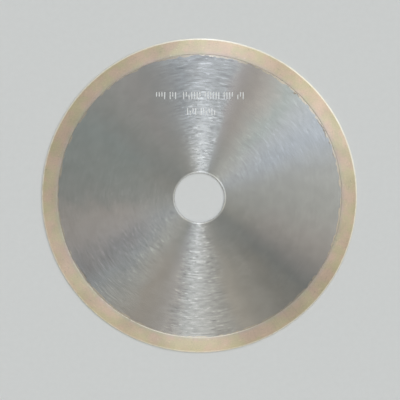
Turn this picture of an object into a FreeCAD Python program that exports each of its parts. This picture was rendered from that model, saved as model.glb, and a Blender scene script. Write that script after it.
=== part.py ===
import FreeCAD, Part

import os

# Diamond cut-off wheel with a continuous rim. It has two pieces: a thin, flat steel core with a
# round bore, and a ring of diamond grit in bronze bond, pressed and sintered round the core's edge.
# The bond grips a thin tongue on that edge and fills a ring of notches in it, so that the rim can't
# turn or lift off. The rim stands a little proud of the core on both sides, so only the rim cuts.
# Lengths are millimetres. The wheel lies flat on its rim, with its axis along +Z and the origin on
# the axis, in the plane that the rim's lower face rests on.

# Sizes that show
outer_diameter = 200.0
bore_diameter = 31.75
rim_depth = 10.0  # radial depth of the abrasive that shows
rim_thickness = 1.5
side_relief = 0.15  # how far the rim stands proud of the core, on each side
shoulder_width = 0.5  # radial width of the slope from the rim's face down to the core
rim_chamfer = 0.25  # on the rim's two outer corners
bore_chamfer = 0.25

# Sizes of the seat, under the bond
tongue_depth = 1.2  # how far the core's edge reaches into the rim
tongue_root = 0.6  # thickness where it leaves the core
tongue_tip = 0.4  # thickness at its end
notch_count = 30
notch_radius = 0.7

# Places that follow from the sizes
outer_radius = outer_diameter / 2
bore_radius = bore_diameter / 2
seat_radius = outer_radius - rim_depth
tongue_radius = seat_radius + tongue_depth
core_low = side_relief
core_high = rim_thickness - side_relief
middle = rim_thickness / 2


# A point of a cross-section: its distance from the axis, and its height.
def section_point(radius, height):
    return FreeCAD.Vector(radius, 0, height)


# One turn of a cross-section about the wheel's axis. The section is closed by its first point.
def turned(points):
    section = Part.Face(Part.makePolygon(points + points[:1]))
    return section.revolve(FreeCAD.Vector(0, 0, 0), FreeCAD.Vector(0, 0, 1), 360)


# The core blank: flat faces, a chamfered bore, and the tapered tongue round its edge.
def core_blank():
    chamfer_radius = bore_radius + bore_chamfer
    points = [
        section_point(chamfer_radius, core_low),
        section_point(seat_radius, core_low),
        section_point(seat_radius, middle - tongue_root / 2),
        section_point(tongue_radius, middle - tongue_tip / 2),
        section_point(tongue_radius, middle + tongue_tip / 2),
        section_point(seat_radius, middle + tongue_root / 2),
        section_point(seat_radius, core_high),
        section_point(chamfer_radius, core_high),
        section_point(bore_radius, core_high - bore_chamfer),
        section_point(bore_radius, core_low + bore_chamfer),
    ]
    return turned(points)


# Round cutters that bite half-round notches into the tongue, evenly spaced round the wheel. Each is
# the first one turned about the axis, so the cutter's seam always faces outwards, clear of the steel.
def notch_cutters():
    first = Part.makeCylinder(notch_radius, rim_thickness, section_point(tongue_radius, 0))
    cutters = []
    for number in range(notch_count):
        degrees = 360 * number / notch_count
        cutters.append(first.rotated(FreeCAD.Vector(0, 0, 0), FreeCAD.Vector(0, 0, 1), degrees))
    return Part.makeCompound(cutters)


def steel_core():
    return core_blank().cut(notch_cutters())


# The rim before it is seated: flat faces, chamfered outer corners, and a slope down to the core.
def rim_blank():
    face_radius = seat_radius + shoulder_width
    corner_radius = outer_radius - rim_chamfer
    points = [
        section_point(seat_radius, core_low),
        section_point(face_radius, 0),
        section_point(corner_radius, 0),
        section_point(outer_radius, rim_chamfer),
        section_point(outer_radius, rim_thickness - rim_chamfer),
        section_point(corner_radius, rim_thickness),
        section_point(face_radius, rim_thickness),
        section_point(seat_radius, core_high),
    ]
    return turned(points)


# The bond takes the form of whatever part of the core's edge it closes round.
def diamond_rim(core):
    return rim_blank().cut(core)


def write_part(name, shape):
    solid = shape.Solids[0]
    solid.exportStep(os.path.join("parts", name + ".step"))
    print(name, "solids", len(shape.Solids), "valid", solid.isValid(), "volume %.1f" % solid.Volume)


os.makedirs("parts", exist_ok=True)
core = steel_core()
write_part("steel_core", core)
write_part("diamond_rim", diamond_rim(core))
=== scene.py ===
# %% [markdown]
# This lesson dresses a diamond cut-off wheel. The real one is two pieces that never come apart: a
# thin steel disc, ground in circles on both faces, and a rim of diamond grit held in bronze that is
# sintered round the disc's edge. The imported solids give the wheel's true sizes, so they are loaded
# first and its sizes are read from them. Nothing here moves or stretches a solid.

# %% Load the wheel
import math
import random

import bpy
from mathutils import Matrix, Vector, noise


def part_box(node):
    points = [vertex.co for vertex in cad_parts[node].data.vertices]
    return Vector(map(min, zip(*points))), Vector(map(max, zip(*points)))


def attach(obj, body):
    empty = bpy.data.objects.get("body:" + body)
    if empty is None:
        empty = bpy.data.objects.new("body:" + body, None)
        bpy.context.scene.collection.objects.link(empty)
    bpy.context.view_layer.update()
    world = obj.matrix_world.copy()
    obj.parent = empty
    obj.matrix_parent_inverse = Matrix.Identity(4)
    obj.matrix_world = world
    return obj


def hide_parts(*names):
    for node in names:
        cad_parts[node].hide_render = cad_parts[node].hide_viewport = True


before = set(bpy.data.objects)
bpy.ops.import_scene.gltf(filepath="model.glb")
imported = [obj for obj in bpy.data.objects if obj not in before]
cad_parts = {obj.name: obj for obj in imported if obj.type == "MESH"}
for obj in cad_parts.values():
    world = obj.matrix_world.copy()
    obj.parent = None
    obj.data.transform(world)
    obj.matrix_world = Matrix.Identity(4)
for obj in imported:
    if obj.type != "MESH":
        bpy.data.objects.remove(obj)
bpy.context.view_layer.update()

MM = 0.001
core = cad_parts["steel_core"]
rim_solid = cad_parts["diamond_rim"]
print("pieces in the frame:", sorted(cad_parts))

# %% [markdown]
# A turned part is known by the corners of its cross-section. Each corner of the solid is a ring of
# vertices, so the sizes can be read from the vertices by their distance from the axis and their
# height. Reading them is better than typing them again, because the wheel and its finish then always
# agree.

# %% Read the cross-section
CLOSE = 0.005 * MM


def corners_of(solid):
    return [(math.hypot(v.co.x, v.co.y), v.co.z) for v in solid.data.vertices]


def radii_at(solid, height):
    radii = [r for r, z in corners_of(solid) if abs(z - height) < CLOSE]
    return min(radii), max(radii)


core_bottom, core_top = (corner.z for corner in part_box("steel_core"))
rim_bottom, rim_top = (corner.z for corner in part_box("diamond_rim"))
middle = (rim_bottom + rim_top) / 2
bore_radius = min(r for r, z in corners_of(core))
tongue_radius = max(r for r, z in corners_of(core))
outer_radius = max(r for r, z in corners_of(rim_solid))
lip_radius, seat_radius = radii_at(core, core_top)
face_radius, corner_radius = radii_at(rim_solid, rim_top)
for label, size in (
    ("bore radius", bore_radius), ("lip radius", lip_radius), ("seat radius", seat_radius),
    ("tongue radius", tongue_radius), ("rim face from", face_radius), ("rim face to", corner_radius),
    ("outer radius", outer_radius), ("rim thickness", rim_top - rim_bottom),
    ("core thickness", core_top - core_bottom),
):
    print("%s %.3f mm" % (label, size / MM))

# %% [markdown]
# The camera comes next, because each finish is judged through it. The photograph looks almost
# straight at the wheel's face, with the upper edge a little nearer. The wheel here lies flat, so the
# camera looks down on it with that same small tilt. Three measured values fix it: the tilt comes
# from how much the circle is flattened, the distance from how far the bore sits off the middle of
# the outline, and the lens from how large the wheel shows.

# %% Set the camera
PICTURE_PIXELS = 400
BORE_PIXEL = (199.57, 197.69)  # counted from the picture's upper left corner
PIXELS_PER_METRE = 1577.5
CAMERA_TILT = math.radians(5.3)
CAMERA_TURN = math.radians(4.0)
CAMERA_DISTANCE = 0.65
SENSOR_WIDTH = 36.0

away = Vector((
    -math.sin(CAMERA_TURN) * math.sin(CAMERA_TILT),
    math.cos(CAMERA_TURN) * math.sin(CAMERA_TILT),
    math.cos(CAMERA_TILT),
))
aim = Vector((
    (PICTURE_PIXELS / 2 - BORE_PIXEL[0]) / PIXELS_PER_METRE,
    (BORE_PIXEL[1] - PICTURE_PIXELS / 2) / PIXELS_PER_METRE,
    core_top,
))
eye = Vector((0, 0, core_top)) + away * CAMERA_DISTANCE
backward = (eye - aim).normalized()
rightward = Vector((0, 1, 0)).cross(backward).normalized()
upward = backward.cross(rightward)

camera_data = bpy.data.cameras.new("camera")
camera_data.sensor_width = SENSOR_WIDTH
camera_data.lens = SENSOR_WIDTH * PIXELS_PER_METRE * CAMERA_DISTANCE / PICTURE_PIXELS
camera = bpy.data.objects.new("camera", camera_data)
camera.matrix_world = Matrix.Translation(eye) @ Matrix((rightward, upward, backward)).transposed().to_4x4()
scene = bpy.context.scene
scene.collection.objects.link(camera)
bpy.context.scene.camera = camera
print("lens %.1f mm, eye at %s" % (camera_data.lens, [round(c, 4) for c in eye]))

# %% [markdown]
# A finish is a small network of nodes. Writing one long network by hand hides what matters, so one
# short helper adds a node, sets its values and joins its inputs in a single call. Five more wrap the
# nodes that are needed most: arithmetic, a soft step, a mix of two colours, the scaling of a colour,
# and noise. The last helper starts a new finish.

# %% Make the node helpers
NOISE_LOW, NOISE_HIGH = 0.3, 0.7  # nearly all the values of a noise lie between these


def add(tree, kind, inputs=None, **settings):
    made = tree.nodes.new(kind)
    for name, value in settings.items():
        setattr(made, name, value)
    for socket, value in (inputs or {}).items():
        if isinstance(value, bpy.types.NodeSocket):
            tree.links.new(value, made.inputs[socket])
        else:
            made.inputs[socket].default_value = value
    return made


def calculate(tree, operation, first, second=0.0, third=0.0):
    return add(tree, "ShaderNodeMath", {0: first, 1: second, 2: third}, operation=operation).outputs[0]


# A value that goes smoothly from one number to another as the input passes between two limits.
def fade(tree, value, start, end, low=0.0, high=1.0):
    limits = {"Value": value, "From Min": start, "From Max": end, "To Min": low, "To Max": high}
    return add(tree, "ShaderNodeMapRange", limits, interpolation_type="SMOOTHSTEP").outputs[0]


def blend_colours(tree, factor, first, second, kind="MIX"):
    node = add(tree, "ShaderNodeMix", {"Factor": factor}, data_type="RGBA", blend_type=kind)
    for socket, colour in ((6, first), (7, second)):
        if isinstance(colour, bpy.types.NodeSocket):
            tree.links.new(colour, node.inputs[socket])
        else:
            node.inputs[socket].default_value = (*colour, 1.0)
    return node.outputs[2]


def scaled(tree, vector, factor):
    return add(tree, "ShaderNodeVectorMath", {0: vector, "Scale": factor}, operation="SCALE").outputs[0]


def noise_of(tree, spot, scale=1.0, detail=2.0):
    return add(tree, "ShaderNodeTexNoise", {"Vector": spot, "Scale": scale, "Detail": detail}).outputs["Fac"]


def new_finish(name):
    finish = bpy.data.materials.new(name)
    finish.use_nodes = True
    return finish, finish.node_tree, finish.node_tree.nodes["Principled BSDF"]


print("node helpers ready")

# %% [markdown]
# Ground steel shows its light in wedges. Fine grooves run in circles round the bore, and each groove
# mirrors only what lies in the upright plane through the axis, so light from one direction makes one
# wedge there and a second wedge opposite. What matters is therefore how bright the studio is in each
# direction round the wheel. A lamp for every wedge would do, but many lamps in such a narrow
# reflection make a grainy picture. Here the soft panels are painted on the world instead, as a ramp
# of colours over the bearing, which is counted clockwise from the top of the picture. Two stops close
# together give a wedge a crisp edge.

# %% Hang the panels
COOL = (0.90, 0.98, 1.12)
PLAIN = (1.0, 1.0, 0.95)
WARM = (1.12, 0.98, 0.78)
PANELS = (
    # bearing in degrees, brightness, tint
    (0, 3.1, COOL), (5, 4.9, COOL), (8, 3.9, COOL), (13, 1.3, COOL), (20, 4.0, COOL), (25, 0.7, PLAIN),
    (32, 0.6, PLAIN), (42, 1.7, PLAIN), (60, 2.5, PLAIN), (76, 2.2, COOL), (96, 1.2, PLAIN),
    (116, 0.8, PLAIN), (128, 0.7, WARM), (136, 0.0, WARM), (158, 0.0, WARM), (172, 0.6, WARM),
    (180, 1.5, PLAIN), (183, 1.3, PLAIN), (188, 0.0, WARM), (202, 0.3, WARM), (218, 0.0, WARM),
    (240, 0.1, WARM), (265, 0.0, PLAIN), (292, 0.3, PLAIN), (315, 0.8, PLAIN), (334, 0.5, PLAIN),
    (346, 0.9, COOL), (354, 1.5, COOL), (360, 3.1, COOL),
)
FULL_TURN = 360


# The bearing of a vector, in degrees clockwise from the top of the picture.
def bearing_of(tree, vector):
    split = add(tree, "ShaderNodeSeparateXYZ", {"Vector": vector})
    return calculate(tree, "DEGREES", calculate(tree, "ARCTAN2", split.outputs["X"], split.outputs["Y"]))


# A colour that changes with the bearing. Each stop is a bearing, a brightness and a tint.
def bearing_ramp(tree, bearing, stops):
    share = calculate(tree, "FRACT", calculate(tree, "MULTIPLY", bearing, 1 / FULL_TURN))
    ramp = add(tree, "ShaderNodeValToRGB", {"Fac": share})
    points = ramp.color_ramp.elements
    points.remove(points[1])
    for number, (degrees, brightness, tint) in enumerate(stops):
        point = points[0] if number == 0 else points.new(degrees / FULL_TURN)
        point.color = (*(brightness * part for part in tint), 1.0)
    return ramp.outputs["Color"]


studio = bpy.data.worlds.new("studio")
studio.use_nodes = True
scene.world = studio
tree = studio.node_tree
towards = add(tree, "ShaderNodeTexCoord").outputs["Generated"]
panels = bearing_ramp(tree, bearing_of(tree, towards), PANELS)
brightest = max(PANELS, key=lambda stop: stop[1])
print("%d stops, the brightest at %d degrees" % (len(PANELS), brightest[0]))

# %% [markdown]
# The panels hang in a ring between two heights. Straight overhead they leave a gap, because that is
# where the camera looks from, and low down they end above the floor. Behind them is a plain grey
# room, which keeps the darkest parts of the steel from going black. The picture is shown as it is
# computed, with no film look, so that a colour in a finish can be judged by what it shows.

# %% Light the studio
ROOM_COLOUR = (0.97, 1.0, 0.96)
ROOM_LIGHT = 0.36
RING_TOP, RING_TOP_FADE = 12.0, 8.0  # degrees from straight overhead
RING_FOOT, RING_FOOT_FADE = 45.0, 50.0


# The height of a direction that leans from straight overhead, as the Z of a vector one unit long.
def height_of(lean):
    return math.cos(math.radians(lean))


height = add(tree, "ShaderNodeSeparateXYZ", {"Vector": towards}).outputs["Z"]
top = fade(tree, height, height_of(RING_TOP), height_of(RING_TOP_FADE), 1.0, 0.0)
foot = fade(tree, height, height_of(RING_FOOT_FADE), height_of(RING_FOOT))
ring = scaled(tree, panels, calculate(tree, "MULTIPLY", top, foot))
room = tuple(ROOM_LIGHT * part for part in ROOM_COLOUR)
light = add(tree, "ShaderNodeVectorMath", {0: ring, 1: room}, operation="ADD").outputs[0]
tree.links.new(light, tree.nodes["Background"].inputs["Color"])
scene.view_settings.view_transform = "Standard"
scene.view_settings.look = "None"
scene.view_settings.exposure = 0.0
print("the ring of light spans %d to %d degrees from overhead" % (RING_TOP, RING_FOOT))

# %% [markdown]
# The core is bright spring steel. Every mark on it follows the wheel's turning, so its finish is laid
# out by two numbers: how far a point lies from the axis, and its bearing. Both are worked out from the
# piece's own coordinates. An unwrapped texture could do the same, but it would need an image, and
# these two numbers need none.

# %% Start the ground steel
# Where a point lies on the wheel: its distance from the axis, and the direction it lies in.
def wheel_place(tree):
    place = add(tree, "ShaderNodeTexCoord").outputs["Object"]
    flat = add(tree, "ShaderNodeVectorMath", {0: place, 1: (1, 1, 0)}, operation="MULTIPLY").outputs[0]
    distance = add(tree, "ShaderNodeVectorMath", {0: flat}, operation="LENGTH").outputs["Value"]
    direction = add(tree, "ShaderNodeVectorMath", {0: flat}, operation="NORMALIZE").outputs[0]
    return place, distance, direction


steel, tree, shader = new_finish("ground_steel")
place, distance, direction = wheel_place(tree)
bearing = bearing_of(tree, direction)
print("the face runs from %.1f to %.1f mm" % (bore_radius / MM, seat_radius / MM))

# %% [markdown]
# A surface grinder leaves a lay of short arcs, a millimetre wide and a few millimetres long. Real
# arcs only glint where light falls on them, so roughness alone could draw them, but a narrow
# reflection that changes from spot to spot is slow to come out clean. So the arcs change the colour
# instead, and where they are strong they are painted glints. Ordinary noise stretched into arcs looks
# like rippled water, because its spots lean. Here the noise is cut into rings that know nothing of
# each other. Three widths of ring are laid over one another: short arcs, long arcs, and thin threads
# that are painted as glints or stay dark.

# %% Grind the lay and paint its glints
RING_STEP = 7.3  # how far one ring's noise lies from the next one's
MIDDLE_RADIUS = (bore_radius + seat_radius) / 2
LAY_DETAIL = 1.5
LONG_SHARE = 0.4  # how much the long arcs count beside the short ones
PAINTED_GLINT = 0.40  # painted glint: how much brighter a few thin threads are
DULL_THREAD = 0.24  # how much darker a few others are
GLINT_FROM, GLINT_FULL = 0.58, 0.72  # values of the noise between which a bright thread sets in
DULL_FROM, DULL_FULL = 0.40, 0.28  # and a dull one
LAY_INNER, LAY_OUTER = 0.95, 0.70  # how deep the lay is at the bore, and at the seam


# Noise in narrow rings about the axis. Every ring has a run of values of its own, so an arc lies
# exactly along the ring and ends in it, and never leans into the next one. The length is true at the
# middle of the face. Further out the arcs are longer, with the square root of the distance.
def ring_noise(tree, direction, distance, length, pitch):
    spread = calculate(tree, "SQRT", calculate(tree, "MULTIPLY", distance, MIDDLE_RADIUS))
    around = scaled(tree, direction, calculate(tree, "MULTIPLY", spread, 1 / length))
    ring = calculate(tree, "FLOOR", calculate(tree, "MULTIPLY", distance, 1 / pitch))
    lift = add(tree, "ShaderNodeCombineXYZ", {"Z": calculate(tree, "MULTIPLY", ring, RING_STEP)}).outputs[0]
    spot = add(tree, "ShaderNodeVectorMath", {0: around, 1: lift}, operation="ADD").outputs[0]
    return noise_of(tree, spot, detail=LAY_DETAIL)


# A value that changes from the bore to the seam.
def across_face(tree, distance, at_bore, at_seam):
    return fade(tree, distance, bore_radius, seat_radius, at_bore, at_seam)


arcs = ring_noise(tree, direction, distance, length=5.5 * MM, pitch=0.87 * MM)
long_arcs = ring_noise(tree, direction, distance, length=14.0 * MM, pitch=1.43 * MM)
threads = ring_noise(tree, direction, distance, length=4.5 * MM, pitch=0.80 * MM)
lay_and_glints = calculate(tree, "MULTIPLY_ADD", long_arcs, LONG_SHARE, arcs)
lay_and_glints = calculate(tree, "SUBTRACT", lay_and_glints, (1 + LONG_SHARE) / 2)
# Painted glints: a few thin threads are made brighter in the colour, where real ones would catch the light.
lay_and_glints = calculate(tree, "ADD", lay_and_glints, fade(tree, threads, GLINT_FROM, GLINT_FULL, 0.0, PAINTED_GLINT))
lay_and_glints = calculate(tree, "SUBTRACT", lay_and_glints, fade(tree, threads, DULL_FROM, DULL_FULL, 0.0, DULL_THREAD))
lay_and_glints = calculate(tree, "MULTIPLY", lay_and_glints, across_face(tree, distance, LAY_INNER, LAY_OUTER))
print("nodes in the lay:", len(tree.nodes))

# %% [markdown]
# The lay is faint on most of the face. In five sectors, where the wedges of light fall, the arcs are
# painted stronger, as the glints that the light makes there. A sector is the part of the face between
# two bearings, and each of its sides can be soft or crisp. The two wedges of light also change in
# brightness from the bore to the seam. Moving the lights could do a little of that, but they act on
# the whole length of a wedge at once, so that light and shade are painted with the same sectors.

# %% Paint glints and light into the wedge sectors
LAY_PLAIN = 0.10  # how much the arcs change the colour everywhere, for the whole range of the noise
PAINTED_WEDGE_LIGHT = (
    # four bearings: where it starts, where it is full, where it stops being full, where it ends;
    # then the depth of the painted glints, and the painted brightness at the bore and at the seam
    (-22, -4, 14, 18, 0.95, 1.14, 0.86), (160, 173, 191, 198, 0.90, 1.05, 0.92),
    (28, 42, 58, 78, 0.20, 1.0, 1.0), (208, 222, 238, 254, 0.40, 1.0, 1.0),
    (254, 264, 282, 296, 0.08, 1.0, 1.0),
)


# One inside a sector, fading to nothing past both of its sides.
def sector(tree, bearing, start, full_from, full_to, end):
    centre = (start + end) / 2
    turned = calculate(tree, "SUBTRACT", bearing, centre)
    turned = calculate(tree, "WRAP", turned, FULL_TURN / 2, -FULL_TURN / 2)
    rising = fade(tree, turned, start - centre, full_from - centre)
    falling = fade(tree, turned, full_to - centre, end - centre, 1.0, 0.0)
    return calculate(tree, "MULTIPLY", rising, falling)


# Painted glints deepen the arcs, and painted light and shade change the brightness, in each sector.
glint_depth, painted_light = LAY_PLAIN, 1.0
for *sides, glint, at_bore, at_seam in PAINTED_WEDGE_LIGHT:
    inside = sector(tree, bearing, *sides)
    glint_depth = calculate(tree, "MULTIPLY_ADD", inside, glint, glint_depth)
    change = across_face(tree, distance, at_bore - 1, at_seam - 1)
    painted_light = calculate(tree, "MULTIPLY_ADD", inside, change, painted_light)
print("%d sectors cut deeper, the deepest by %.2f" % (len(PAINTED_WEDGE_LIGHT), max(row[4] for row in PAINTED_WEDGE_LIGHT)))

# %% [markdown]
# In the last few millimetres before the seam the two wedges are wider and flatter, and all over the
# face the brightness wanders a little from patch to patch. A lamp of its own for the seam would show
# in the whole face, so the wedges' change is painted light and shade, and it is mixed with the
# patches into the gain that the steel's colour is multiplied by.

# %% Paint light and shade on the steel along the seam
PAINTED_SEAM_LIGHT = (
    # four bearings as above, then the painted light next to the seam, which is shade where it is negative
    (-20, -15, -8, -1, 0.16), (-3, 1, 5, 9, -0.10), (7, 11, 14, 18, 0.10), (188, 192, 194, 198, 0.10),
)
SHINE_FROM, SHINE_FULL = 7 * MM, 3 * MM  # how far inside the seam the change sets in, and is complete
MOTTLE = 0.03  # how much the brightness wanders from patch to patch
MOTTLE_SCALE = 130.0

near_seam = fade(tree, distance, seat_radius - SHINE_FROM, seat_radius - SHINE_FULL)
# Painted light and shade next to the seam, in each sector.
for *sides, shine in PAINTED_SEAM_LIGHT:
    inside = calculate(tree, "MULTIPLY", sector(tree, bearing, *sides), near_seam)
    painted_light = calculate(tree, "MULTIPLY_ADD", inside, shine, painted_light)
mottle = noise_of(tree, place, MOTTLE_SCALE)
gain = calculate(tree, "MULTIPLY_ADD", lay_and_glints, glint_depth, painted_light)
gain = calculate(tree, "MULTIPLY", gain, fade(tree, mottle, NOISE_LOW, NOISE_HIGH, 1 - MOTTLE, 1 + MOTTLE))
print("the shade sets in %.0f mm inside the seam" % (SHINE_FROM / MM))

# %% [markdown]
# Ground steel is never quite one grey. A thin film of oxide turns it mauve, olive or teal, most of
# all in its outer half. The tint could come from noise alone, but on this wheel it goes with the
# wedges, so a second ramp of bearings gives it. The same ramp also paints light and shade: its
# brightness makes the outer half lighter at some bearings and darker at others. A little noise makes
# its borders wander.

# %% Tint the steel with its film of oxide, and paint light and shade by bearing
STEEL_GREY = (0.456, 0.457, 0.449)
NEUTRAL = (1.0, 1.0, 1.0)
MAUVE = (1.08, 1.0, 0.98)
ROSE = (1.04, 1.0, 1.02)
BROWN = (1.07, 1.0, 0.96)
OLIVE = (1.05, 1.0, 0.95)
TEAL = (0.93, 1.0, 1.02)
PALE_TEAL = (0.95, 1.0, 1.01)
BLUE = (0.97, 1.0, 1.05)
FILM_AND_SHADING = (
    # bearing in degrees, painted brightness where the film is full, tint of the film
    (0, 0.97, NEUTRAL), (13, 1.05, NEUTRAL), (18, 0.98, MAUVE), (27, 1.05, MAUVE), (35, 1.04, NEUTRAL),
    (41, 1.0, TEAL), (50, 1.03, BLUE), (62, 1.01, BLUE), (75, 0.99, NEUTRAL), (95, 1.02, NEUTRAL),
    (112, 1.0, ROSE), (122, 0.99, ROSE), (131, 0.90, NEUTRAL), (140, 0.96, OLIVE), (148, 1.12, OLIVE),
    (160, 1.08, OLIVE), (168, 0.95, NEUTRAL), (187, 0.99, NEUTRAL), (194, 1.08, BROWN), (208, 1.01, BROWN),
    (219, 1.06, NEUTRAL), (229, 0.99, BLUE), (239, 0.86, ROSE), (250, 1.06, MAUVE), (261, 1.08, MAUVE),
    (270, 0.99, NEUTRAL), (284, 1.04, PALE_TEAL), (303, 1.08, TEAL), (315, 1.01, NEUTRAL),
    (330, 1.01, ROSE), (350, 1.04, BLUE), (360, 0.97, NEUTRAL),
)
FILM_AND_SHADING_FROM, FILM_AND_SHADING_FULL = 22 * MM, 54 * MM  # distances from the axis between which the film and the painted shading set in
CLOUD_SCALE = 60.0
DRIFT = 2.5  # degrees that a border wanders each way

clouds = noise_of(tree, place, CLOUD_SCALE, detail=3.0)
drifted = calculate(tree, "ADD", bearing, fade(tree, clouds, NOISE_LOW, NOISE_HIGH, -DRIFT, DRIFT))
# The ramp gives the oxide's tint, and painted light and shade by bearing.
film_and_shading = bearing_ramp(tree, drifted, FILM_AND_SHADING)
film_and_shading = blend_colours(tree, fade(tree, distance, FILM_AND_SHADING_FROM, FILM_AND_SHADING_FULL), NEUTRAL, film_and_shading)
tone = blend_colours(tree, 1.0, STEEL_GREY, film_and_shading, kind="MULTIPLY")
tone = scaled(tree, tone, gain)
print("stops in the film:", len(FILM_AND_SHADING))

# %% [markdown]
# Along the seam the bond has crept a little over the steel, with a ragged edge. At the bottom the seam
# was cleaned, and the creep is shorter. On the creep's edge lies a broken brown line of painted shade,
# in the seam between rim and core. Round the bore a bright line is a painted highlight on the bore's
# edge. These could be pieces of mesh, but they have no thickness worth a mesh, so each is a mask made
# from the distance and a noise.

# %% Wear the seam, and paint its shade and the bore's highlight
CREPT_BOND = (0.62, 0.56, 0.48)
CREEP_LEAST, CREEP_MOST = 0.35 * MM, 1.5 * MM  # how far the bond has crept over the steel
CREEP_EDGE = 0.25 * MM  # how soft its edge is
RAGGED_SCALE = 220.0
RAGGED_LOW, RAGGED_HIGH = 0.35, 0.65  # values of the noise that give the least creep, and the most
BOTTOM = (150, 172, 192, 214)  # the sector at the bottom, as four bearings
BOTTOM_CREEP = 0.5  # the share of the creep that is missing there
SEAM_SHADE_BROWN = (0.29, 0.255, 0.205)
SEAM_SHADE_SCALE = 120.0
SEAM_SHADE_FROM, SEAM_SHADE_FULL = 0.48, 0.60  # values of the noise between which the painted shade sets in
SEAM_SHADE_REACH = 0.5 * MM  # how far the painted shade reaches to each side of the creep's edge
SEAM_SHADE_HOLD = 0.1 * MM  # how far past that edge it keeps its full strength
SEAM_SHADE_SECTORS = ((20, 32, 68, 80, 1.0), (228, 234, 248, 254, 0.8))  # four bearings, then the painted shade's strength
FAINT_SEAM_SHADE = 0.12  # their strength everywhere else
LIP_FULL, LIP_END = 0.45 * MM, 0.9 * MM  # how far from the bore's chamfer the painted highlight reaches
LIP_HIGHLIGHT = (0.80, 0.80, 0.79)

ragged = noise_of(tree, place, RAGGED_SCALE, detail=3.0)
creep = fade(tree, ragged, RAGGED_LOW, RAGGED_HIGH, CREEP_LEAST, CREEP_MOST)
kept = calculate(tree, "MULTIPLY_ADD", sector(tree, bearing, *BOTTOM), -BOTTOM_CREEP, 1.0)
reach = calculate(tree, "MULTIPLY_ADD", creep, kept, distance)
tone = blend_colours(tree, fade(tree, reach, seat_radius, seat_radius + CREEP_EDGE), tone, CREPT_BOND)
# A broken line of painted shade along the creep's edge, in the seam between rim and core.
line_start = fade(tree, reach, seat_radius - SEAM_SHADE_REACH, seat_radius)
line_end = fade(tree, reach, seat_radius + SEAM_SHADE_HOLD, seat_radius + SEAM_SHADE_REACH, 1.0, 0.0)
seam_shade_strength = FAINT_SEAM_SHADE
for *sides, strength in SEAM_SHADE_SECTORS:
    inside = calculate(tree, "MULTIPLY", sector(tree, bearing, *sides), strength)
    seam_shade_strength = calculate(tree, "MAXIMUM", inside, seam_shade_strength)
seam_shade = fade(tree, noise_of(tree, place, SEAM_SHADE_SCALE), SEAM_SHADE_FROM, SEAM_SHADE_FULL)
seam_shade = calculate(tree, "MULTIPLY", seam_shade_strength, seam_shade)
seam_line = calculate(tree, "MULTIPLY", line_start, line_end)
tone = blend_colours(tree, calculate(tree, "MULTIPLY", seam_line, seam_shade), tone, SEAM_SHADE_BROWN)
# A painted highlight round the edge of the bore.
lip = fade(tree, distance, lip_radius + LIP_FULL, lip_radius + LIP_END, 1.0, 0.0)
tone = blend_colours(tree, lip, tone, LIP_HIGHLIGHT)
tree.links.new(tone, shader.inputs["Base Color"])
print("the bond creeps %.2f to %.2f mm over the steel" % (CREEP_LEAST / MM, CREEP_MOST / MM))

# %% [markdown]
# What spreads a lamp's reflection into a wedge is that the surface is much rougher across the grooves
# than along them. The shader calls that anisotropy. It needs a tangent that says where the grooves
# run: the radial one runs round the axis, and a quarter of a turn makes the rough direction point
# away from it. Real grooves of mesh would be far too many to draw.

# %% Set the steel's shine
STEEL_ROUGHNESS = 0.20
ROUGHNESS_TREND = 0.05  # by this share it is rougher at the bore and smoother at the seam
QUARTER_TURN = 0.25


def groove_shine(tree, shader, metallic, anisotropy):
    tangent = add(tree, "ShaderNodeTangent", direction_type="RADIAL", axis="Z").outputs["Tangent"]
    tree.links.new(tangent, shader.inputs["Tangent"])
    shader.inputs["Metallic"].default_value = metallic
    shader.inputs["Anisotropic"].default_value = anisotropy
    shader.inputs["Anisotropic Rotation"].default_value = QUARTER_TURN


at_bore, at_seam = (STEEL_ROUGHNESS * (1 + way * ROUGHNESS_TREND) for way in (1, -1))
tree.links.new(across_face(tree, distance, at_bore, at_seam), shader.inputs["Roughness"])
groove_shine(tree, shader, metallic=1.0, anisotropy=1.0)
core.data.materials.clear()
core.data.materials.append(steel)
print("steel nodes:", len(tree.nodes))

# %% [markdown]
# The rim is bronze powder and diamond grit, pressed hot and dressed flat. Its colour wanders between
# pink and yellow where the bond has more copper or more tin, and its brightness wanders with larger
# drifts and a fine grain. One noise could drive everything, but then light patches would always be
# pink ones, so each has a noise of its own.

# %% Mix the bronze bond
BOND_PINK = (0.680, 0.527, 0.425)
BOND_YELLOW = (0.621, 0.546, 0.384)
PATCH_SCALE = 110.0
PATCH_LOW, PATCH_HIGH = 0.36, 0.64  # values of the noise that are all pink, and all yellow
DRIFT_SCALE = 45.0
GRAIN_SCALE = 1200.0
DRIFT_DEPTH = 0.08
GRAIN_DEPTH = 0.04

bond, tree, shader = new_finish("bronze_bond")
place, distance, direction = wheel_place(tree)
bearing = bearing_of(tree, direction)
patches = noise_of(tree, place, PATCH_SCALE, detail=3.0)
tone = blend_colours(tree, fade(tree, patches, PATCH_LOW, PATCH_HIGH), BOND_PINK, BOND_YELLOW)
drifts = fade(tree, noise_of(tree, place, DRIFT_SCALE), NOISE_LOW, NOISE_HIGH, -DRIFT_DEPTH, DRIFT_DEPTH)
grain = noise_of(tree, place, GRAIN_SCALE, detail=1.5)
grain = fade(tree, grain, NOISE_LOW, NOISE_HIGH, 1 - GRAIN_DEPTH, 1 + GRAIN_DEPTH)
level = calculate(tree, "ADD", drifts, grain)
print("patches about %.0f mm across" % (1 / PATCH_SCALE / MM))

# %% [markdown]
# The dressing stone leaves short scratches round the rim, some light and some dark, and to the lower
# right a few faint lines across it. Both come from noise: for the scratches it is drawn out round the
# wheel, and for the lines it changes with the direction alone, so it has the same value all the way
# across. The scratches may lean a little here, because on the real rim they do.

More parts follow.
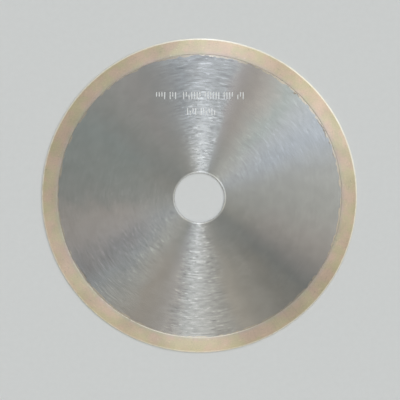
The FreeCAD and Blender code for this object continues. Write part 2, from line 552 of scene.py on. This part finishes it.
# %% Scratch the bond
SCRATCH = 0.16
SCRATCH_LENGTH, SCRATCH_PITCH = 3.6 * MM, 0.8 * MM
SCRATCH_SHIFT = 9.0  # where in the noise the scratches start
LIGHT_FROM, LIGHT_FULL = 0.64, 0.78  # values of the noise between which a light scratch sets in
DARK_FROM, DARK_FULL = 0.36, 0.22  # and a dark one
CROSS_LINE = 0.05
LINE_FROM, LINE_FULL = 0.42, 0.30
SPOKE_STEPS = 45.0  # noise cells in one radian of the rim: the lines across it are this fine
CROSSED = (70, 100, 150, 185)  # the sector with lines across the rim, as four bearings

lengthwise = (1 / SCRATCH_LENGTH, 1 / SCRATCH_LENGTH, 0)
around = add(tree, "ShaderNodeVectorMath", {0: place, 1: lengthwise}, operation="MULTIPLY").outputs[0]
across = calculate(tree, "MULTIPLY_ADD", distance, 1 / SCRATCH_PITCH, SCRATCH_SHIFT)
lift = add(tree, "ShaderNodeCombineXYZ", {"Z": across}).outputs[0]
spot = add(tree, "ShaderNodeVectorMath", {0: around, 1: lift}, operation="ADD").outputs[0]
scratches = noise_of(tree, spot, detail=1.5)
level = calculate(tree, "ADD", level, fade(tree, scratches, LIGHT_FROM, LIGHT_FULL, 0.0, SCRATCH))
level = calculate(tree, "SUBTRACT", level, fade(tree, scratches, DARK_FROM, DARK_FULL, 0.0, SCRATCH))
spokes = noise_of(tree, scaled(tree, direction, SPOKE_STEPS), detail=1.0)
lines = fade(tree, spokes, LINE_FROM, LINE_FULL, 0.0, CROSS_LINE)
lines = calculate(tree, "MULTIPLY", lines, sector(tree, bearing, *CROSSED))
level = calculate(tree, "SUBTRACT", level, lines)
tone = scaled(tree, tone, level)
print("scratches %.1f mm long" % (SCRATCH_LENGTH / MM))

# %% [markdown]
# Next to the seam the bond is greyer, and towards its outer edge it is warmer. Grains of diamond grit
# show as fine specks: a painted glint where a grain is whole, and dark where it has fallen out. Each
# grain could be a piece of mesh, but they are far finer than the picture can show, so a noise picks
# them out.

# %% Tint the bond and show the grit, with painted glints
SEAM_TINT = (0.92, 0.98, 1.09)
EDGE_TINT = (1.0, 1.0, 0.93)
SEAM_TINT_WIDTH = 3 * MM
EDGE_TINT_START = 4 * MM  # outwards from the seam
BOND_PALE = (0.92, 0.87, 0.76)
BOND_DARK = (0.34, 0.31, 0.27)
SPECK_SCALE = 520.0
SPECK_STRENGTH = 0.6
FALLEN_FROM, FALLEN_FULL = 0.70, 0.80  # values of the noise between which a fallen grain's mark sets in
GRAIN_GLINT_FROM, GRAIN_GLINT_FULL = 0.29, 0.21  # and a whole grain's painted glint

warmth = fade(tree, distance, seat_radius + EDGE_TINT_START, outer_radius)
trend = blend_colours(tree, warmth, NEUTRAL, EDGE_TINT)
off_seam = fade(tree, distance, seat_radius, seat_radius + SEAM_TINT_WIDTH)
trend = blend_colours(tree, off_seam, SEAM_TINT, trend)
tone = blend_colours(tree, 1.0, tone, trend, kind="MULTIPLY")
specks = noise_of(tree, place, SPECK_SCALE)
fallen = fade(tree, specks, FALLEN_FROM, FALLEN_FULL, 0.0, SPECK_STRENGTH)
grain_glints = fade(tree, specks, GRAIN_GLINT_FROM, GRAIN_GLINT_FULL, 0.0, SPECK_STRENGTH)
tone = blend_colours(tree, fallen, tone, BOND_DARK)
# Painted glints where a grain of diamond is whole.
tone = blend_colours(tree, grain_glints, tone, BOND_PALE)
print("specks about %.1f mm across" % (1 / SPECK_SCALE / MM))

# %% [markdown]
# Two lines of the rim are painted pale. The slope down to the core gets a painted highlight at the
# bottom, where it faces the light, and a weaker one in broken lengths to the lower left. The outer
# edge is rubbed all round, and its pale line is partly that wear and partly a painted highlight on the
# rounded corner, least from the bottom to the lower left. Wear and highlights like these could be
# painted by the form of the mesh, but a rim is so plain that the distance from the axis finds both
# lines exactly.

# %% Paint a highlight on the slope, and rub and light the edge
BROKEN_SCALE = 420.0
BROKEN_FROM, BROKEN_FULL = 0.42, 0.56  # values of the noise between which a broken length sets in
SLOPE_EDGE = 0.05 * MM
LOWER_LEFT = (185, 205, 245, 262)
PLAIN_SLOPE_HIGHLIGHT, BROKEN_SLOPE_HIGHLIGHT = 0.1, 0.45
EDGE_START, EDGE_FULL = 1.15 * MM, 0.5 * MM  # inwards from the outer radius
RUBBED_AND_LIT = (-105, -60, 130, 170)
PLAIN_RUB_AND_LIGHT = 0.55
STEADY_RUB_AND_LIGHT, BROKEN_RUB_AND_LIGHT = 0.6, 0.4  # shares of the rubbed and lit line that are unbroken, and broken

broken = fade(tree, noise_of(tree, place, BROKEN_SCALE), BROKEN_FROM, BROKEN_FULL)
slope = fade(tree, distance, face_radius, face_radius - SLOPE_EDGE)
# Painted highlight on the slope down to the core.
slope_highlight = calculate(tree, "ADD", sector(tree, bearing, *BOTTOM), PLAIN_SLOPE_HIGHLIGHT)
part_slope_highlight = calculate(tree, "MULTIPLY", sector(tree, bearing, *LOWER_LEFT), broken)
slope_highlight = calculate(tree, "MULTIPLY_ADD", part_slope_highlight, BROKEN_SLOPE_HIGHLIGHT, slope_highlight)
tone = blend_colours(tree, calculate(tree, "MULTIPLY", slope, slope_highlight), tone, BOND_PALE)
edge = fade(tree, distance, outer_radius - EDGE_START, outer_radius - EDGE_FULL)
# The outer edge: real rubbing, and a painted highlight on its rounded corner.
rubbed_and_lit = calculate(tree, "ADD", sector(tree, bearing, *RUBBED_AND_LIT), PLAIN_RUB_AND_LIGHT)
rubbed_and_lit = calculate(tree, "MULTIPLY", rubbed_and_lit, calculate(tree, "MULTIPLY_ADD", broken, BROKEN_RUB_AND_LIGHT, STEADY_RUB_AND_LIGHT))
tone = blend_colours(tree, calculate(tree, "MULTIPLY", edge, rubbed_and_lit), tone, BOND_PALE)
tree.links.new(tone, shader.inputs["Base Color"])
print("the rubbed edge is %.2f mm wide" % (EDGE_START / MM))

# %% [markdown]
# A bronze like this is only partly metal to the eye: some of its light is scattered by the grit, so
# the shader is set between the two. The dressing gives it the same kind of wedges as the steel, only
# wider. The grit also stands up a little from the bond, which a bump shows well enough, because the
# grains are too small to change the outline.

# %% Set the bond's shine
BOND_ROUGHNESS = 0.33
SCRATCH_ROUGHNESS = 0.03  # how much a scratch changes it, each way
SLOPE_ROUGHNESS = 0.60
GRIT_SCALE = 1100.0
GRIT_HEIGHT = 0.03 * MM
GRIT_STRENGTH = 0.15

smoothest, roughest = BOND_ROUGHNESS - SCRATCH_ROUGHNESS, BOND_ROUGHNESS + SCRATCH_ROUGHNESS
rough = fade(tree, scratches, NOISE_LOW, NOISE_HIGH, smoothest, roughest)
rough = calculate(tree, "MULTIPLY_ADD", slope, SLOPE_ROUGHNESS - BOND_ROUGHNESS, rough)
tree.links.new(rough, shader.inputs["Roughness"])
grit = add(tree, "ShaderNodeTexVoronoi", {"Vector": place, "Scale": GRIT_SCALE}).outputs["Distance"]
grains = {"Height": grit, "Strength": GRIT_STRENGTH, "Distance": GRIT_HEIGHT}
tree.links.new(add(tree, "ShaderNodeBump", grains).outputs["Normal"], shader.inputs["Normal"])
groove_shine(tree, shader, metallic=0.72, anisotropy=0.9)
print("bond nodes:", len(tree.nodes))

# %% [markdown]
# The rim's mesh is turned from its cross-section. The solid already has the right form, but its
# corners are plain chamfers and its face is perfectly flat. A finer mesh can round the cutting
# corners, which shows at the outline. The profile follows the solid's corners, with the hidden groove
# that grips the core's tongue, so the piece can stand for the solid. Only the bond inside the
# tongue's notches is left out, because a turned ring has the same section all round and nothing of it
# shows.

# %% Draw the rim's section
FACE_ROWS = 14
ROUND_ROWS = 5
WALL_ROWS = 3


def heights_at(solid, radius):
    return sorted({round(z, 6) for r, z in corners_of(solid) if abs(r - radius) < CLOSE})


def upper_profile():
    corner_size = outer_radius - corner_radius
    points = [(seat_radius, core_top)]
    for row in range(FACE_ROWS + 1):
        points.append((face_radius + (corner_radius - face_radius) * row / FACE_ROWS, rim_top))
    for row in range(1, ROUND_ROWS + 1):
        angle = math.pi / 2 * row / ROUND_ROWS
        points.append((
            corner_radius + corner_size * math.sin(angle),
            rim_top - corner_size + corner_size * math.cos(angle),
        ))
    return points


def rim_profile():
    upper = upper_profile()
    lower = [(radius, 2 * middle - height) for radius, height in reversed(upper)]
    wall_top, wall_bottom = upper[-1][1], lower[0][1]
    wall = [
        (outer_radius, wall_top + (wall_bottom - wall_top) * row / WALL_ROWS)
        for row in range(1, WALL_ROWS)
    ]
    groove = [
        (seat_radius, root_low), (tongue_radius, tip_low),
        (tongue_radius, tip_high), (seat_radius, root_high),
    ]
    return upper + wall + lower + groove


seat_heights = heights_at(core, seat_radius)
root_low, root_high = seat_heights[1], seat_heights[-2]
tip_heights = heights_at(core, tongue_radius)
tip_low, tip_high = tip_heights[0], tip_heights[-1]
section = rim_profile()
root_size, tip_size = root_high - root_low, tip_high - tip_low
print("groove %.2f mm wide at the seat, %.2f at its floor" % (root_size / MM, tip_size / MM))

# %% [markdown]
# The section is then carried round the axis, point by point. Blender's screw modifier would do that
# too, but the face of a sintered part is slightly uneven, and here each point can be dipped a little
# as it is placed. The dips only go inwards, and so does a small inset of the outer wall, because the
# solid's circle is made of short straight sides and the mesh has to stay inside them.

# %% Turn the rim
RIM_STEPS = 1200
RELIEF_DEPTH = 0.02 * MM
COARSE_DIP, FINE_DIP = 2.2 * MM, 0.7 * MM  # how far apart the dips lie
COARSE_PART, FINE_PART = 0.35, 0.15  # how much of the depth each kind adds or takes away
FINE_SHIFT = Vector((7, 3, 1))
WALL_INSET = 0.025 * MM
SHARP_ANGLE = math.radians(12)


# How deep the surface dips under the solid's at a point.
def dip(spot):
    coarse = noise.noise(spot / COARSE_DIP)
    fine = noise.noise(spot / FINE_DIP + FINE_SHIFT)
    return RELIEF_DEPTH * (0.5 + COARSE_PART * coarse + FINE_PART * fine)


# A point of the section, placed at one side of the wheel. From the rim's face outwards it is dipped:
# down into the face, or in from the outer corner and wall.
def placed(side, radius, height):
    spot = side * radius + Vector((0, 0, height))
    if radius > corner_radius + CLOSE:
        spot -= side * (dip(spot) + WALL_INSET)
    elif radius > face_radius - CLOSE:
        spot += Vector((0, 0, math.copysign(1, middle - height))) * dip(spot)
    return spot


def turned_ring(name, profile, steps):
    vertices = []
    for step in range(steps):
        angle = 2 * math.pi * step / steps
        side = Vector((math.cos(angle), math.sin(angle), 0))
        vertices += [placed(side, radius, height) for radius, height in profile]
    rows = len(profile)
    faces = []
    for step in range(steps):
        here, there = step * rows, (step + 1) % steps * rows
        for row in range(rows):
            after = (row + 1) % rows
            faces.append((here + row, here + after, there + after, there + row))
    mesh = bpy.data.meshes.new(name)
    mesh.from_pydata(vertices, [], faces)
    mesh.validate()
    for polygon in mesh.polygons:
        polygon.use_smooth = True
    mesh.set_sharp_from_angle(angle=SHARP_ANGLE)
    piece = bpy.data.objects.new(name, mesh)
    scene.collection.objects.link(piece)
    return piece


rim = turned_ring("sintered_rim", section, RIM_STEPS)
rim.data.materials.append(bond)
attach(rim, "root")
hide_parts("diamond_rim")
print("%s: %d faces" % (rim.name, len(rim.data.polygons)))

# %% [markdown]
# Two short rows of marks are burnt into the steel above the bore by a laser, which leaves a frosted
# white line. They could be painted in the steel's finish, but real strokes of mesh stay crisp at any
# distance. They are plain upright ticks in groups, a hundredth of a millimetre thick, with round ends
# like those of a laser's dot.

# %% Draw a stroke
STROKE_WIDTH = 0.55 * MM
STROKE_HEIGHT = 0.01 * MM
END_POINTS = 5


def stroke(vertices, faces, start, end):
    start, end = Vector((*start, core_top)), Vector((*end, core_top))
    along = (end - start).normalized()
    across = Vector((-along.y, along.x, 0))
    outline = []
    for centre, facing in ((end, 1), (start, -1)):
        for point in range(END_POINTS):
            angle = math.pi * (point / (END_POINTS - 1) - 0.5)
            outward = along * math.cos(angle) * facing + across * math.sin(angle) * facing
            outline.append(centre + outward * STROKE_WIDTH / 2)
    first, count = len(vertices), len(outline)
    vertices += outline + [point + Vector((0, 0, STROKE_HEIGHT)) for point in outline]
    faces.append([first + number for number in reversed(range(count))])
    faces.append([first + count + number for number in range(count)])
    for number in range(count):
        after = (number + 1) % count
        faces.append([first + number, first + after, first + count + after, first + count + number])


print("a stroke has %d corners" % (4 * END_POINTS))

# %% [markdown]
# The ticks stand in two rows, the upper one long and the lower one short. Some are whole and some are
# shorter at the top or at the foot, which a seeded choice decides, so that every run gives the same
# rows. Left out ticks part the groups.

# %% Etch the two rows
TICK_HEIGHT = 4.0 * MM
TICK_PITCH = 1.7 * MM
SHORT_SHARE = 0.6
UPPER_ROW = (-27.0 * MM, 28.0 * MM, 62.4 * MM)  # left end, right end, foot
UPPER_GAPS = (4, 8, 9, 17, 24, 29)
LOWER_ROW = (-7.5 * MM, 9.5 * MM, 52.4 * MM)
LOWER_GAPS = (4,)
marks_random = random.Random(11)


def mark_row(vertices, faces, left, right, foot, gaps):
    for number in range(int((right - left) / TICK_PITCH) + 1):
        if number in gaps:
            continue
        kind = marks_random.choice(("tall", "tall", "low", "high"))
        low, high = foot, foot + TICK_HEIGHT
        if kind == "low":
            high = foot + TICK_HEIGHT * SHORT_SHARE
        if kind == "high":
            low = foot + TICK_HEIGHT * (1 - SHORT_SHARE)
        x = left + number * TICK_PITCH
        stroke(vertices, faces, (x, low), (x, high))


vertices, faces = [], []
mark_row(vertices, faces, *UPPER_ROW, UPPER_GAPS)
mark_row(vertices, faces, *LOWER_ROW, LOWER_GAPS)
mesh = bpy.data.meshes.new("etched_marks")
mesh.from_pydata(vertices, [], faces)
mesh.validate()
etched = bpy.data.objects.new("etched_marks", mesh)
scene.collection.objects.link(etched)
print("etched marks: %d faces" % len(mesh.polygons))

# %% [markdown]
# The laser's frost is a matt, broken white. It isn't metal to the eye any more, so its finish is a
# plain rough one, with a speckle between two whites.

# %% Frost the marks
FROST_DULL, FROST_BRIGHT = (0.78, 0.78, 0.77), (0.95, 0.95, 0.94)
FROST_ROUGHNESS = 0.8
SPECKLE_SCALE = 2500.0

frost, tree, shader = new_finish("laser_frost")
place, distance, direction = wheel_place(tree)
speckle = fade(tree, noise_of(tree, place, SPECKLE_SCALE), NOISE_LOW, NOISE_HIGH)
tree.links.new(blend_colours(tree, speckle, FROST_DULL, FROST_BRIGHT), shader.inputs["Base Color"])
shader.inputs["Roughness"].default_value = FROST_ROUGHNESS
etched.data.materials.append(frost)
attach(etched, "root")
print("frost nodes:", len(tree.nodes))

# %% [markdown]
# The floor is a plain pale sheet. It lies a hair under the rim, so that the two surfaces never
# share a plane, which would show as flicker.

# %% Lay the floor
FLOOR_SIZE = 6.0
FLOOR_GAP = 0.03 * MM
PAPER_DULL, PAPER_BRIGHT = (0.72, 0.72, 0.715), (0.76, 0.76, 0.755)
PAPER_ROUGHNESS = 0.9
FIBRE_SCALE = 300.0

mesh = bpy.data.meshes.new("floor")
half = FLOOR_SIZE / 2
level = rim_bottom - FLOOR_GAP
mesh.from_pydata(
    [(-half, -half, level), (half, -half, level), (half, half, level), (-half, half, level)],
    [], [(0, 1, 2, 3)],
)
floor = bpy.data.objects.new("floor", mesh)
scene.collection.objects.link(floor)
paper, tree, shader = new_finish("pale_paper")
place, distance, direction = wheel_place(tree)
fibre = noise_of(tree, place, FIBRE_SCALE, detail=3.0)
tree.links.new(blend_colours(tree, fibre, PAPER_DULL, PAPER_BRIGHT), shader.inputs["Base Color"])
shader.inputs["Roughness"].default_value = PAPER_ROUGHNESS
floor.data.materials.append(paper)
print("the floor lies %.2f mm under the rim" % (FLOOR_GAP / MM))

# %% [markdown]
# The wheel is now dressed. A finish never changes a size.

# %% Finish
print("the wheel is dressed")
